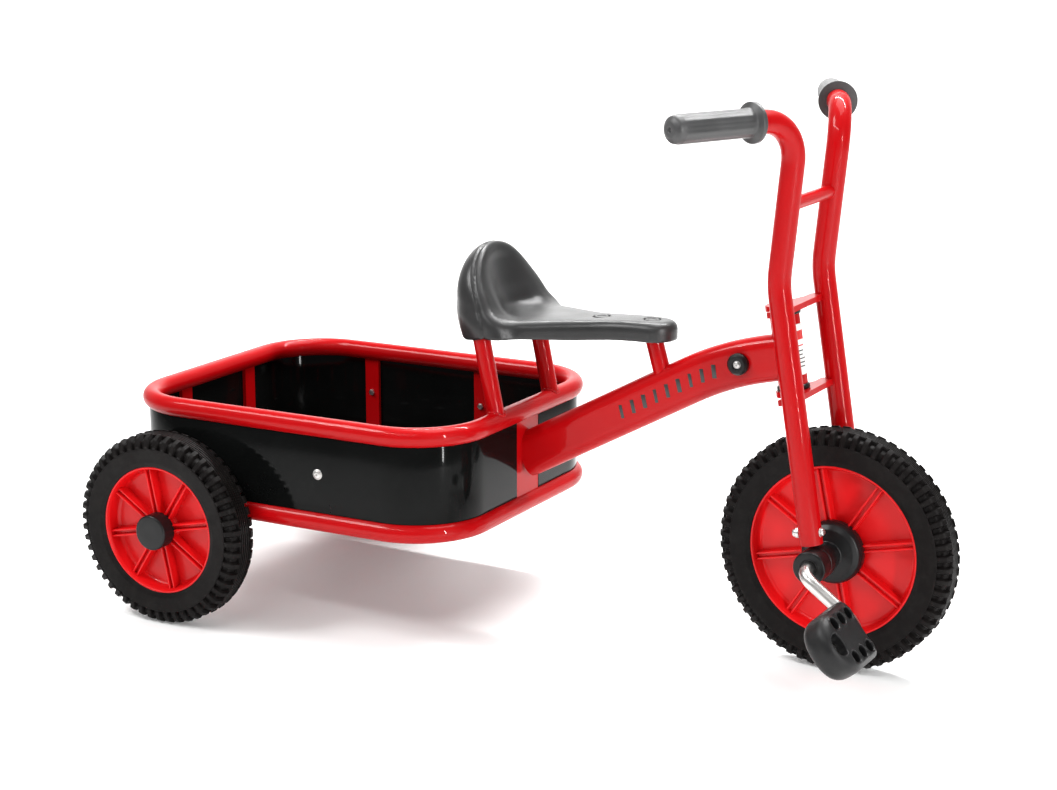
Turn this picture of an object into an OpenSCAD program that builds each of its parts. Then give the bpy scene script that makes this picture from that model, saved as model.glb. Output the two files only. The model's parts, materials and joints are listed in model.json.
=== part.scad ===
// Children's tricycle: tubular steel frame with a rear tray, raked fork with
// direct-drive pedals on the front wheel, two free rear wheels.
// Frame: +X forward, +Y to the rider's left, +Z up, origin on the ground at the
// middle of the bounding box. Millimetres.

/* [Tray] */
// Rear end of the tray ring, centre line
tray_rear_x = -519;       // [-560:1:-480]
// Front end of the tray ring, centre line
tray_front_x = -34;       // [-60:1:0]
// Half width of the tray ring, centre line
tray_half_w = 204.5;      // [180:0.5:215]
// Corner radius of the tray ring, centre line
tray_corner_r = 90;       // [50:1:120]
// Height of the lower ring, centre line
ring_low_z = 150;         // [145:1:170]
// Height of the upper ring, centre line
ring_top_z = 272.5;       // [240:0.5:300]
// Outside diameter of the ring tube
ring_d = 25;              // [20:0.5:30]
// Wall thickness of all thin tubes
wall = 2;                 // [1.5:0.1:3]
// Thickness of the side panel sheet
panel_t = 2;              // [1:0.1:3]

/* [Wheels] */
// Front wheel radius over the tread
front_r = 150;            // [130:1:170]
// Front tyre width
front_w = 46;             // [36:1:56]
// Front rim lip radius
front_lip_r = 107;        // [90:1:115]
// Front axle position along the tricycle
front_x = 398;            // [380:1:420]
// Rear wheel radius over the tread
rear_r = 125;             // [110:1:135]
// Rear tyre width
rear_w = 50;              // [40:1:54]
// Rear rim lip radius
rear_lip_r = 83.5;        // [70:0.5:92]
// Rear axle position along the tricycle
rear_x = -423;            // [-450:1:-400]
// Rear wheel middle plane from the centre line
rear_y = 249;             // [245:1:262]
// Rear axle rod diameter
axle_d = 14;              // [10:0.5:18]

/* [Steering] */
// Rake of the steering axis from vertical, degrees
rake = 9.3;               // [5:0.1:15]
// Steering axis position at front axle height
steer_x = 367;            // [350:1:385]
// Fork legs ahead of the steering axis
leg_ahead = 28;           // [24:0.5:34]
// Half spacing of the fork legs
leg_y = 69.5;             // [60:0.5:80]
// Fork and handlebar tube diameter
fork_d = 28;              // [24:0.5:32]
// Knee of the fork above the axle, along the steering axis
knee_h = 331;             // [300:1:360]
// Forward slope of the legs above the knee, degrees
upper_lean = 5.6;         // [0:0.1:10]
// Height of the grips above ground
grip_z = 675;             // [640:1:700]
// Backward sweep of the grips, degrees
grip_sweep = 26;          // [10:1:45]
// Grip length
grip_len = 122;           // [100:1:130]
// Distance of the grip flange from the corner of the bar
grip_out = 66;            // [50:1:80]
// Grip diameter
grip_d = 34;              // [30:0.5:38]

/* [Main beam] */
// Height of the flat-sided beam section
beam_h = 58;              // [50:1:64]
// Width of the flat-sided beam section
beam_w = 30;              // [24:1:36]
// Slope of the beam's straight part, degrees
beam_slope = 28.4;        // [20:0.1:35]
// Slope of the beam where it meets the head tube, degrees
beam_end_slope = 12.4;    // [0:0.1:20]
// Centre height of the beam at the tray
beam_z0 = 213;            // [205:1:220]
// Bend radius of the beam's front part
beam_bend_r = 387;        // [300:1:450]

/* [Seat] */
// Height of the seat's lower edge
seat_z = 380;             // [360:1:400]
// Height of the backrest above the lower edge
back_h = 108;             // [90:1:130]
// Half spacing of the rear seat posts
post_y = 72;              // [60:1:80]
// Seat post diameter
post_d = 22;              // [18:0.5:26]

/* [Pedals] */
// Crank throw
crank_r = 90;             // [70:1:100]
// Crank angle of the right pedal below the horizontal, degrees
crank_a = 36;             // [0:1:90]
// Crank rod diameter
crank_d = 16;             // [12:0.5:18]
// Pedal width along its pin
pedal_w = 92;             // [60:1:100]

/* [Hidden] */
$fn = 64;
e = 0.01;
ix = tray_front_x - tray_corner_r;
jx = tray_rear_x + tray_corner_r;
iy = tray_half_w - tray_corner_r;
beam_x0 = tray_front_x + 4;
beam_bx = 200;
beam_bz = beam_z0 + (beam_bx - beam_x0) * tan(beam_slope);
beam_cx = beam_bx + beam_bend_r * sin(beam_slope);
beam_cz = beam_bz - beam_bend_r * cos(beam_slope);
beam_ex = beam_cx - beam_bend_r * sin(beam_end_slope);
beam_ez = beam_cz + beam_bend_r * cos(beam_end_slope);
front_z = front_r;
rear_z = rear_r;
// direction of the steering axis and of the fork's forward offset
ax_u = [-sin(rake), 0, cos(rake)];
ax_f = [cos(rake), 0, sin(rake)];
steer_o = [steer_x, 0, front_z];
plate_lo = 190;
plate_hi = 295;
plate_t = 7;
bush_h = 6;
run = 0.3;
pin_d = 16;
head_d = 36;
head_lo = plate_lo + plate_t / 2 + run + bush_h;
head_hi = plate_hi - plate_t / 2 - run - bush_h;
knee = steer_o + leg_ahead * ax_f + knee_h * ax_u;
up_u = [sin(upper_lean), 0, cos(upper_lean)];
bar_x = knee[0] + (grip_z - knee[2]) * tan(upper_lean);
bar_bend_r = 50;
knee_bend_r = 130;
block_r = 20.5;
block_in = 55;
block_out = 94;
arm_y = 116;
crank_bend_r = 18;
pedal_y = arm_y + 22 + pedal_w / 2;
pin_end = pedal_y + 32;
rear_cap_y = 284.5;

red = [0.80, 0.03, 0.04];
black = [0.05, 0.05, 0.05];
steel = [0.72, 0.72, 0.73];

// ---- helpers -------------------------------------------------------------
function unit(v) = v / norm(v);
function side(w) = unit(abs(w[1]) < 0.9 ? cross([0, 1, 0], w) : cross([1, 0, 0], w));

// round bar between two points
module rod(a, b, d) {
    w = unit(b - a);
    p = side(w);
    q = cross(w, p);
    multmatrix([[p[0], q[0], w[0], a[0]], [p[1], q[1], w[1], a[1]],
                [p[2], q[2], w[2], a[2]], [0, 0, 0, 1]])
        cylinder(d = d, h = norm(b - a));
}

// smooth bead that joins a bar to a tight bend
module bead(c, d) translate(c) sphere(d = d + 0.1);

// thin collar that joins a bar to a wide bend at c, along w
module collar(c, w, d) rod(c - w, c + w, d + 0.1);

// bend of radius r where a bar running along u turns to run along v at corner q
module elbow(q, u, v, r, d) {
    a = acos(u * v);
    n = unit(v - (u * v) * u);
    c = q - r * tan(a / 2) * u + r * n;
    z = cross(-n, u);
    multmatrix([[-n[0], u[0], z[0], c[0]], [-n[1], u[1], z[1], c[1]],
                [-n[2], u[2], z[2], c[2]], [0, 0, 0, 1]])
        rotate_extrude(angle = a) translate([r, 0]) circle(d = d);
}

module both() { children(); mirror([0, 1, 0]) children(); }

// closed ring of the tray at height z
module ring(z, d) {
    both() {
        rod([jx, tray_half_w, z], [ix, tray_half_w, z], d);
        elbow([tray_front_x, tray_half_w, z], [1, 0, 0], [0, -1, 0], tray_corner_r, d);
        elbow([tray_rear_x, tray_half_w, z], [0, 1, 0], [1, 0, 0], tray_corner_r, d);
    }
    rod([tray_front_x, -iy, z], [tray_front_x, iy, z], d);
    rod([tray_rear_x, -iy, z], [tray_rear_x, iy, z], d);
}

module rings() { ring(ring_low_z, ring_d); ring(ring_top_z, ring_d); }

// plan outline of the tray at an offset outside the ring's centre line
module plan(o) {
    hull() both() {
        translate([ix, iy]) circle(r = tray_corner_r + o);
        translate([jx, iy]) circle(r = tray_corner_r + o);
    }
}

// flat-sided beam section, height along x
module beam_section(o) {
    w = beam_w - 2 * o;
    h = beam_h - 2 * o;
    union() {
        translate([-(h - w) / 2, 0]) circle(d = w);
        translate([(h - w) / 2, 0]) circle(d = w);
        square([h - w, w], center = true);
    }
}

module beam_path(o = 0, ext = 0) {
    l1 = (beam_bx - beam_x0) / cos(beam_slope) + 40;
    translate([beam_bx, 0, beam_bz]) rotate([0, 90 - beam_slope, 0]) {
        translate([0, 0, -l1 - ext]) linear_extrude(l1 + ext) beam_section(o);
        translate([0, 0, -1]) linear_extrude(2) beam_section(o - 0.05);
    }
    translate([beam_cx, 0, beam_cz]) rotate([90, 0, 0]) rotate([0, 0, 90 + beam_end_slope])
        rotate_extrude(angle = beam_slope - beam_end_slope)
            translate([beam_bend_r, 0]) beam_section(o);
    translate([beam_ex, 0, beam_ez]) rotate([0, 90 - beam_end_slope, 0]) {
        translate([0, 0, -1]) linear_extrude(2) beam_section(o - 0.05);
        linear_extrude(28 + ext) beam_section(o);
    }
}

module in_fork() { translate(steer_o) rotate([0, -rake, 0]) children(); }

// wheel parts are drawn with the axle along Z, then laid along Y
module laid(x, y, z) { translate([x, y, z]) rotate([90, 0, 0]) children(); }

// ---- tray ----------------------------------------------------------------
module top_rail() color(red) difference() {
    ring(ring_top_z, ring_d);
    ring(ring_top_z, ring_d - 2 * wall);
}

module bottom_rail() color(red) difference() {
    ring(ring_low_z, ring_d);
    ring(ring_low_z, ring_d - 2 * wall);
}

post_w = 22;
post_t = 5;
module tray_posts() color(red) difference() {
    h = ring_top_z - ring_low_z;
    union() {
        both() for (x = [-215, -395])
            translate([x - post_w / 2, tray_half_w - post_t / 2, ring_low_z])
                cube([post_w, post_t, h]);
        both() translate([tray_front_x - post_t / 2, 92, ring_low_z])
            cube([post_t, post_w, h]);
        both() translate([tray_rear_x - post_t / 2, 62, ring_low_z])
            cube([post_t, post_w, h]);
    }
    rings();
    for (x = [-215, -395]) laid(x, tray_half_w + 20, 212)
        cylinder(d = 5, h = 2 * tray_half_w + 40);
}

panel_o = post_t / 2;
module tray_panel() color(black) difference() {
    translate([0, 0, ring_low_z + 11.7]) linear_extrude(ring_top_z - ring_low_z - 23.4)
        difference() {
            plan(panel_o + panel_t);
            plan(panel_o);
        }
    translate([tray_front_x - 20, -bracket_w / 2 - 0.5, ring_low_z])
        cube([60, bracket_w + 1, 200]);
    rings();
    for (x = [-215, -395]) laid(x, tray_half_w + 20, 212)
        cylinder(d = 5, h = 2 * tray_half_w + 40);
}

floor_z = ring_low_z + ring_d / 2;
module tray_floor() color(black) difference() {
    translate([0, 0, floor_z]) linear_extrude(2) plan(-post_t / 2 - 0.5);
    for (x = [-460:60:-100], y = [-120:60:120])
        translate([x, y, floor_z + 1.2]) cylinder(d = 22, h = 2);
}

module floor_bearers() color(red) difference() {
    intersection() {
        for (x = [-455, -340, -200, -90]) translate([x, -tray_half_w, floor_z - 5])
            cube([25, 2 * tray_half_w, 5]);
        translate([0, 0, floor_z - 6]) linear_extrude(8) plan(-8.5);
    }
    ring(ring_low_z, ring_d);
}

// round-headed screws through the panel and the uprights
module panel_screws() color(steel) both() for (x = [-215, -395])
    laid(x, tray_half_w + panel_o + panel_t, 212) {
        cylinder(d = 4.9, h = panel_t + post_t + 4);
        translate([0, 0, panel_t + post_t]) cylinder(d = 9, h = 4);
        translate([0, 0, -3]) difference() {
            cylinder(d1 = 7, d2 = 11, h = 3);
            translate([0, 0, -1]) cylinder(d = 4, h = 2.5, $fn = 6);
        }
    }

bracket_w = 57;
module beam_bracket() color(red) difference() {
    translate([tray_front_x - 3, -bracket_w / 2, ring_low_z])
        cube([7, bracket_w, ring_top_z - ring_low_z]);
    rings();
}

// ---- beam, head, seat ----------------------------------------------------
module main_beam() color(red) difference() {
    beam_path();
    beam_path(wall + 0.5, 1);
    translate([beam_x0 - 100, -50, 100]) cube([100, 100, 200]);
    in_fork() translate([0, 0, 150]) cylinder(d = head_d, h = 200);
    laid(stop_x, 30, stop_z) cylinder(d = 6, h = 60);
}

stop_x = 270;
stop_z = 368;
module beam_stop() {
    color(black) both() laid(stop_x, -beam_w / 2, stop_z) difference() {
        union() {
            cylinder(r = 13, h = 6);
            translate([0, 0, 6]) cylinder(r1 = 13, r2 = 10, h = 3);
        }
        translate([0, 0, 6.5]) cylinder(d = 11, h = 5);
        translate([0, 0, -1]) cylinder(d = 6, h = 12);
    }
    color(steel) laid(stop_x, beam_w / 2 + 9, stop_z) {
        cylinder(d = 6, h = beam_w + 18);
        for (k = [2.5, beam_w + 12.5]) translate([0, 0, k]) cylinder(d = 10, h = 3);
    }
}

module head_tube() color(red) in_fork() translate([0, 0, head_lo]) difference() {
    cylinder(d = head_d, h = head_hi - head_lo);
    translate([0, 0, -1]) cylinder(d = head_d - 6, h = head_hi - head_lo + 2);
}

module head_bush(z, s) color(black) in_fork() translate([0, 0, z]) scale([1, 1, s])
    difference() {
        union() {
            translate([0, 0, -bush_h]) cylinder(d = head_d + 4, h = bush_h);
            cylinder(d = head_d - 6, h = 18);
        }
        translate([0, 0, -bush_h - 1]) cylinder(d = pin_d + 0.16, h = bush_h + 20);
    }
module head_bush_lower() head_bush(head_lo, 1);
module head_bush_upper() head_bush(head_hi, -1);

// plain pale sticker wrapped on the head tube, no lettering
module head_label() color([0.9, 0.9, 0.88]) in_fork()
    translate([0, 0, head_lo + 12]) rotate([0, 0, -62]) rotate_extrude(angle = 84)
        translate([head_d / 2, 0]) square([0.4, head_hi - head_lo - 24]);

module seat_post_rear(s) color(red) {
    a = [tray_front_x, s * post_y, ring_top_z];
    b = [tray_front_x - 27, s * post_y, seat_z + 20];
    difference() {
        rod(a, b, post_d);
        rod(a, b + (b - a), post_d - 2 * wall);
        translate([-200, -100, seat_z]) cube([300, 200, 100]);
        ring(ring_top_z, ring_d);
    }
}
module seat_post_rear_right() seat_post_rear(-1);
module seat_post_rear_left() seat_post_rear(1);

module seat_post_front() color(red) {
    a = [164, 0, 330];
    b = [144, 0, 400];
    difference() {
        rod(a, b, post_d);
        rod(a, b + (b - a), post_d - 2 * wall);
        translate([0, -100, seat_z]) cube([300, 200, 100]);
        beam_path();
    }
}

// moulded seat: wide rear with a rounded backrest, narrow nose
module seat() color(black) difference() {
    union() {
        hull() {
            both() translate([-58, 50, seat_z]) cylinder(r = 27, h = 22, $fn = 32);
            both() translate([-58, 50, seat_z + 20]) cylinder(r = 20, h = 8, $fn = 32);
            translate([8, 0, seat_z]) cylinder(r = 44, h = 22, $fn = 32);
            translate([8, 0, seat_z + 20]) cylinder(r = 36, h = 8, $fn = 32);
            translate([149, 0, seat_z]) cylinder(r = 30, h = 18, $fn = 32);
            translate([147, 0, seat_z + 18]) cylinder(r = 22, h = 9, $fn = 32);
        }
        translate([0, 0, seat_z]) intersection() {
            // bellied shell about the sitter's back
            translate([-4, 0, 0]) rotate_extrude($fn = 96)
                polygon([[50, -8], [99, -8], [106, 8], [110.5, 24], [112, 45], [110, 65],
                         [104, 81], [95, 95], [84, 104], [77, back_h], [71, back_h],
                         [66, 101], [64, 90], [63, 62], [57, 38], [50, 22]]);
            // front edge slopes back, lower edge dips a little behind
            rotate([90, 0, 0]) translate([0, 0, -120]) linear_extrude(240)
                polygon([[-160, -8], [-92, -7], [-42, 0], [-20, 0], [-57, 62], [-63, 80],
                         [-66, 96], [-67, back_h + 1], [-160, back_h + 1]]);
            union() {
                translate([-160, 0, back_h - 84]) rotate([0, 90, 0])
                    cylinder(r = 84, h = 150);
                translate([-160, -84, -9]) cube([150, 168, back_h - 75]);
            }
        }
    }
    for (x = [76, 146]) translate([x, 0, seat_z + 22]) cylinder(d = 20, h = 20);
    // flat seats for the rear posts in the lower edge
    both() translate([-56, post_y, seat_z - 20]) cylinder(r = 14, h = 20);
}

module seat_plugs() color(black) for (x = [76, 146])
    translate([x, 0, seat_z + 22]) cylinder(d = 19, h = 4.5);

// ---- rear axle -----------------------------------------------------------
axle_tube_d = 24;
axle_tube_y = 217;
module axle_tube() color(red) difference() {
    laid(rear_x, axle_tube_y, rear_z) difference() {
        cylinder(d = axle_tube_d, h = 2 * axle_tube_y);
        translate([0, 0, -1]) cylinder(d = axle_d, h = 2 * axle_tube_y + 2);
    }
    ring(ring_low_z, ring_d);
}

// folded gussets that carry the axle tube under the side rails
module axle_saddles() color(red) both() difference() {
    union() for (y = [tray_half_w - 12, tray_half_w + 8])
        translate([0, y, 0]) laid(rear_x, 0, rear_z) linear_extrude(4)
            polygon([[-34, 22], [34, 22], [16, -8], [8, -15], [-8, -15], [-16, -8]]);
    ring(ring_low_z, ring_d);
    laid(rear_x, 300, rear_z) cylinder(d = axle_tube_d, h = 600);
}

module rear_axle() color(steel) laid(rear_x, 279, rear_z) cylinder(d = axle_d, h = 558);

module axle_spacers() color(steel) both() {
    laid(rear_x, 225.7, rear_z) difference() {
        cylinder(d = 22, h = 225.7 - axle_tube_y);
        translate([0, 0, -1]) cylinder(d = axle_d, h = 20);
    }
    laid(rear_x, 275.3, rear_z) difference() {
        cylinder(d = 22, h = 3);
        translate([0, 0, -1]) cylinder(d = axle_d, h = 5);
    }
}

// ---- fork ----------------------------------------------------------------
module fork_path(s, d, ext = 0) {
    lo = steer_o + [0, s * leg_y, 0] + leg_ahead * ax_f + 10 * ax_u;
    kn = knee + [0, s * leg_y, 0];
    tp = [bar_x, s * leg_y, grip_z];
    g = [-sin(grip_sweep), s * cos(grip_sweep), 0];
    t1 = knee_bend_r * tan((rake + upper_lean) / 2);
    t2 = bar_bend_r * tan(acos(up_u * g) / 2);
    rod(lo - ext * ax_u, kn - t1 * ax_u, d);
    collar(kn - t1 * ax_u, ax_u, d);
    elbow(kn, ax_u, up_u, knee_bend_r, d);
    collar(kn + t1 * up_u, up_u, d);
    rod(kn + t1 * up_u, tp - t2 * up_u, d);
    collar(tp - t2 * up_u, up_u, d);
    elbow(tp, up_u, g, bar_bend_r, d);
    collar(tp + t2 * g, g, d);
    rod(tp + t2 * g, tp + (grip_out - 8 + grip_len + ext) * g, d);
}

module bearing_cut() {
    laid(front_x, leg_y + 40, front_z) cylinder(r = block_r, h = 2 * leg_y + 80);
}

module fork_tube(s) color(red) difference() {
    fork_path(s, fork_d);
    fork_path(s, fork_d - 2 * wall, 2);
    bearing_cut();
}
module fork_tube_right() fork_tube(-1);
module fork_tube_left() fork_tube(1);

module fork_solids() { fork_path(1, fork_d); fork_path(-1, fork_d); }

cross_z = 574;
module fork_crossbar() color(red) difference() {
    x = knee[0] + (cross_z - knee[2]) * tan(upper_lean);
    difference() {
        rod([x, -leg_y, cross_z], [x, leg_y, cross_z], 16);
        rod([x, -leg_y - 1, cross_z], [x, leg_y + 1, cross_z], 12);
    }
    fork_solids();
}

module fork_plate(z) color(red) difference() {
    in_fork() translate([0, 0, z - plate_t / 2]) difference() {
        linear_extrude(plate_t) union() {
            translate([leg_ahead - 20, -leg_y]) square([20, 2 * leg_y]);
            polygon([[leg_ahead - 10, -leg_y], [leg_ahead - 10, leg_y],
                     [-6, 21], [-6, -21]]);
            circle(r = 22);
        }
        translate([0, 0, -1]) cylinder(d = pin_d, h = plate_t + 2);
    }
    fork_solids();
}
module fork_plate_upper() fork_plate(plate_hi);
module fork_plate_lower() fork_plate(plate_lo);

module steering_pin() color(steel) in_fork() {
    translate([0, 0, plate_lo - plate_t / 2 - 2]) cylinder(d = pin_d,
        h = plate_hi - plate_lo + plate_t + 14);
    translate([0, 0, plate_lo - plate_t / 2 - 10]) cylinder(d = 26, h = 10, $fn = 6);
    translate([0, 0, plate_hi + plate_t / 2]) difference() {
        cylinder(d = 26, h = 9, $fn = 6);
        translate([0, 0, -1]) cylinder(d = pin_d, h = 12);
    }
}

module grip(s) color(black) {
    tp = [bar_x, s * leg_y, grip_z];
    g = [-sin(grip_sweep), s * cos(grip_sweep), 0];
    a = tp + grip_out * g;
    difference() {
        union() {
            rod(a, a + 6 * g, 48);
            rod(a + 4 * g, a + (grip_len - 4) * g, grip_d);
            rod(a + (grip_len - 6) * g, a + grip_len * g, grip_d - 6);
        }
        rod(a - 2 * g, a + (grip_len - 8) * g, fork_d);
    }
}
module grip_right() grip(-1);
module grip_left() grip(1);

// two-part bearing block clamped on the lower end of a leg
module bearing(s) color(black) difference() {
    scale([1, s, 1]) {
        laid(front_x, block_out, front_z) cylinder(r = block_r, h = block_out - block_in);
        laid(front_x, block_in, front_z) cylinder(r = 15, h = 5);
    }
    laid(front_x, s > 0 ? 120 : -30, front_z) cylinder(d = crank_d + 0.16, h = 90);
    translate([front_x - 0.5, s * block_out - 2, front_z]) cube([1, 4, 30]);
}
module bearing_right() bearing(-1);
module bearing_left() bearing(1);

// clamp screws across the legs above the bearings
module bearing_screws() color(steel) both() difference() {
    p = steer_o + leg_ahead * ax_f + 33 * ax_u + [0, leg_y, 0];
    union() {
        rod(p - 21 * ax_f, p + 21 * ax_f, 6);
        rod(p + 14 * ax_f, p + 18.5 * ax_f, 10);
        rod(p - 18.5 * ax_f, p - 14 * ax_f, 10);
    }
    fork_path(1, fork_d);
}

// ---- front wheel ---------------------------------------------------------
module tyre(r, w, lip, fw) {
    rotate_extrude($fn = 96) difference() {
        union() {
            hull() for (k = [-1, 1]) {
                translate([r - 12, k * (w / 2 - 12)]) circle(r = 12, $fn = 40);
                translate([lip + 8, k * (fw / 2 - 2)]) circle(r = 5, $fn = 24);
            }
            translate([lip - 7, -fw / 2 + 4]) square([20, fw - 8]);
        }
        translate([0, -50]) square([lip - 7, 100]);
        for (k = [-1, 1]) translate([0, k > 0 ? fw / 2 - 4 : -fw / 2 - 46])
            square([lip + e, 50]);
        for (k = [-2:2]) translate([r - 2.5, k * 4.4 - 0.6]) square([4, 1.2]);
    }
}

web = 3;
module rim(lip, fw) rotate_extrude($fn = 96) {
    for (k = [-1, 1]) translate([lip - 10, k > 0 ? fw / 2 - 4 : -fw / 2]) square([10, 4]);
    translate([lip - 10, -fw / 2]) square([3, fw]);
}

// flat web and hub inside the rim
module disc(lip, hub_r, hub_h, bore) rotate_extrude($fn = 96) {
    translate([hub_r - 2, -web / 2]) square([lip - 8 - hub_r, web]);
    translate([bore / 2, -hub_h / 2]) square([hub_r - bore / 2, hub_h]);
}

// eight double ribs on each face of the web
module ribs(lip, hub_r, rib_h, cap_r, cap_z) difference() {
    for (a = [0:45:315], k = [-4.5, 2.5], m = [0, 1])
        mirror([0, 0, m]) rotate([0, 0, a + 12]) translate([hub_r, k, web / 2])
            cube([lip - hub_r - 10.1, 2, rib_h - web / 2]);
    // room for the caps that close over the hub
    for (m = [0, 1]) mirror([0, 0, m]) translate([0, 0, cap_z]) cylinder(r = cap_r, h = 30);
}

front_fw = 37.4;
module front_tyre() color(black) laid(front_x, 0, front_z)
    tyre(front_r, front_w, front_lip_r, front_fw);

module front_rim() color(red) laid(front_x, 0, front_z) rim(front_lip_r, front_fw);
module front_disc() color(red) laid(front_x, 0, front_z)
    disc(front_lip_r, 24, 40, crank_d);
module front_ribs() color(red) laid(front_x, 0, front_z) ribs(front_lip_r, 24, 14, 39.2, 10.1);

module hub_cover(s) color(black) laid(front_x, 0, front_z) scale([1, 1, -s])
    rotate_extrude($fn = 64) difference() {
        polygon([[crank_d / 2, 20], [24.2, 20], [24.2, 10.2], [39, 10.2], [39, 20],
                 [37, 25], [31.5, 29], [24, 31], [15, 32], [15, 49.5], [crank_d / 2, 49.5]]);
        square([crank_d / 2, 100]);
    }
module hub_cover_right() hub_cover(-1);
module hub_cover_left() hub_cover(1);

// one bent rod: axle through the wheel, two arms half a turn apart, two pins
module crank_axle() color(steel) {
    f = [cos(crank_a), 0, -sin(crank_a)];
    c = [front_x, 0, front_z];
    r = crank_bend_r;
    rod(c - [0, arm_y - r, 0], c + [0, arm_y - r, 0], crank_d);
    for (s = [-1, 1]) {
        o = [0, s, 0];
        d = -s * f;
        q1 = c + arm_y * o;
        q2 = q1 + crank_r * d;
        bead(q1 - r * o, crank_d);
        elbow(q1, o, d, r, crank_d);
        bead(q1 + r * d, crank_d);
        rod(q1 + r * d, q2 - r * d, crank_d);
        bead(q2 - r * d, crank_d);
        elbow(q2, d, o, r, crank_d);
        bead(q2 + r * o, crank_d);
        rod(q2 + r * o, q2 + (r + 3.6) * o, crank_d);
        rod(q2 + r * o, q2 + (pin_end - arm_y) * o, 12);
        rod(q2 + (pin_end - arm_y - 5) * o, q2 + (pin_end - arm_y - 2.5) * o, 16);
    }
}

pedal_tilt = 52;
pedal_l = 76;
pedal_t = 39;
// block with a rounded outer end, three holes in each row and a larger one over the pin
module pedal(s) color(black) {
    c = [front_x - s * crank_r * cos(crank_a), s * pedal_y,
         front_z + s * crank_r * sin(crank_a)];
    nose = pedal_l / 2;
    translate(c) rotate([0, pedal_tilt, 0]) rotate([90, 0, 0]) scale([1, 1, -s]) difference() {
        hull() {
            for (x = [-1, 1], y = [-1, 1])
                translate([x * (pedal_l / 2 - 12), y * (pedal_t / 2 - 12), -pedal_w / 2])
                    cylinder(r = 12, h = pedal_w - nose, $fn = 32);
            translate([0, 0, pedal_w / 2 - nose]) rotate([90, 0, 0]) {
                cylinder(r = nose, h = pedal_t - 14, center = true);
                cylinder(r = nose - 5, h = pedal_t, center = true);
            }
        }
        translate([0, 0, -pedal_w]) cylinder(d = 12.16, h = pedal_w + 20);
        translate([0, 0, -pedal_w / 2 - 1]) cylinder(d = 18, h = 3.5);
        for (z = [-31, -10, 11], x = [-22, 22]) translate([x, 0, z]) rotate([90, 0, 0])
            cylinder(d = 13.5, h = 60, center = true);
        translate([0, 0, 28]) rotate([90, 0, 0]) cylinder(d = 24, h = 60, center = true);
    }
}
module pedal_right() pedal(-1);
module pedal_left() pedal(1);

// ---- rear wheels ---------------------------------------------------------
rear_fw = 41.2;
rear_hub_r = 18;
rear_hub_h = 44;
bush_r = 11;
module rear_tyre(s) color(black) laid(rear_x, s * rear_y, rear_z)
    tyre(rear_r, rear_w, rear_lip_r, rear_fw);
module rear_rim(s) color(red) laid(rear_x, s * rear_y, rear_z)
    rim(rear_lip_r, rear_fw);
module rear_disc(s) color(red) laid(rear_x, s * rear_y, rear_z)
    disc(rear_lip_r, rear_hub_r, rear_hub_h, 2 * bush_r);
module rear_ribs(s) color(red) laid(rear_x, s * rear_y, rear_z)
    ribs(rear_lip_r, rear_hub_r, 15.5, 23.2, 13.9);
module rear_bush(s) color(black) laid(rear_x, s * rear_y, rear_z) difference() {
    cylinder(r = bush_r, h = 46, center = true);
    cylinder(d = axle_d + 0.16, h = 60, center = true);
}
module rear_cap(s) color(black) laid(rear_x, s * rear_cap_y, rear_z) scale([1, 1, s])
    rotate_extrude($fn = 64)
        polygon([[0, 0], [19.5, 0], [22, 1], [23, 3.5], [23, rear_cap_y - rear_y - 14],
                 [rear_hub_r, rear_cap_y - rear_y - 14],
                 [rear_hub_r, rear_cap_y - rear_y - 22],
                 [15.5, rear_cap_y - rear_y - 22], [15.5, 4], [0, 4]]);

module rear_tyre_right() rear_tyre(-1);
module rear_tyre_left() rear_tyre(1);
module rear_rim_right() rear_rim(-1);
module rear_rim_left() rear_rim(1);
module rear_disc_right() rear_disc(-1);
module rear_disc_left() rear_disc(1);
module rear_ribs_right() rear_ribs(-1);
module rear_ribs_left() rear_ribs(1);
module rear_bush_right() rear_bush(-1);
module rear_bush_left() rear_bush(1);
module rear_cap_right() rear_cap(-1);
module rear_cap_left() rear_cap(1);

// ---- what is drawn -------------------------------------------------------
top_rail();
bottom_rail();
tray_posts();
tray_panel();
tray_floor();
floor_bearers();
panel_screws();
beam_bracket();
main_beam();
beam_stop();
head_tube();
head_bush_upper();
head_bush_lower();
head_label();
seat_post_rear_right();
seat_post_rear_left();
seat_post_front();
seat();
seat_plugs();
axle_tube();
axle_saddles();
rear_axle();
axle_spacers();
fork_tube_right();
fork_tube_left();
fork_crossbar();
fork_plate_upper();
fork_plate_lower();
steering_pin();
grip_right();
grip_left();
bearing_right();
bearing_left();
bearing_screws();
front_tyre();
front_rim();
front_disc();
front_ribs();
hub_cover_right();
hub_cover_left();
crank_axle();
pedal_right();
pedal_left();
rear_tyre_right();
rear_rim_right();
rear_disc_right();
rear_ribs_right();
rear_bush_right();
rear_cap_right();
rear_tyre_left();
rear_rim_left();
rear_disc_left();
rear_ribs_left();
rear_bush_left();
rear_cap_left();
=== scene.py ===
"""Children's tricycle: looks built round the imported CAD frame."""
import json
import math

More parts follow.
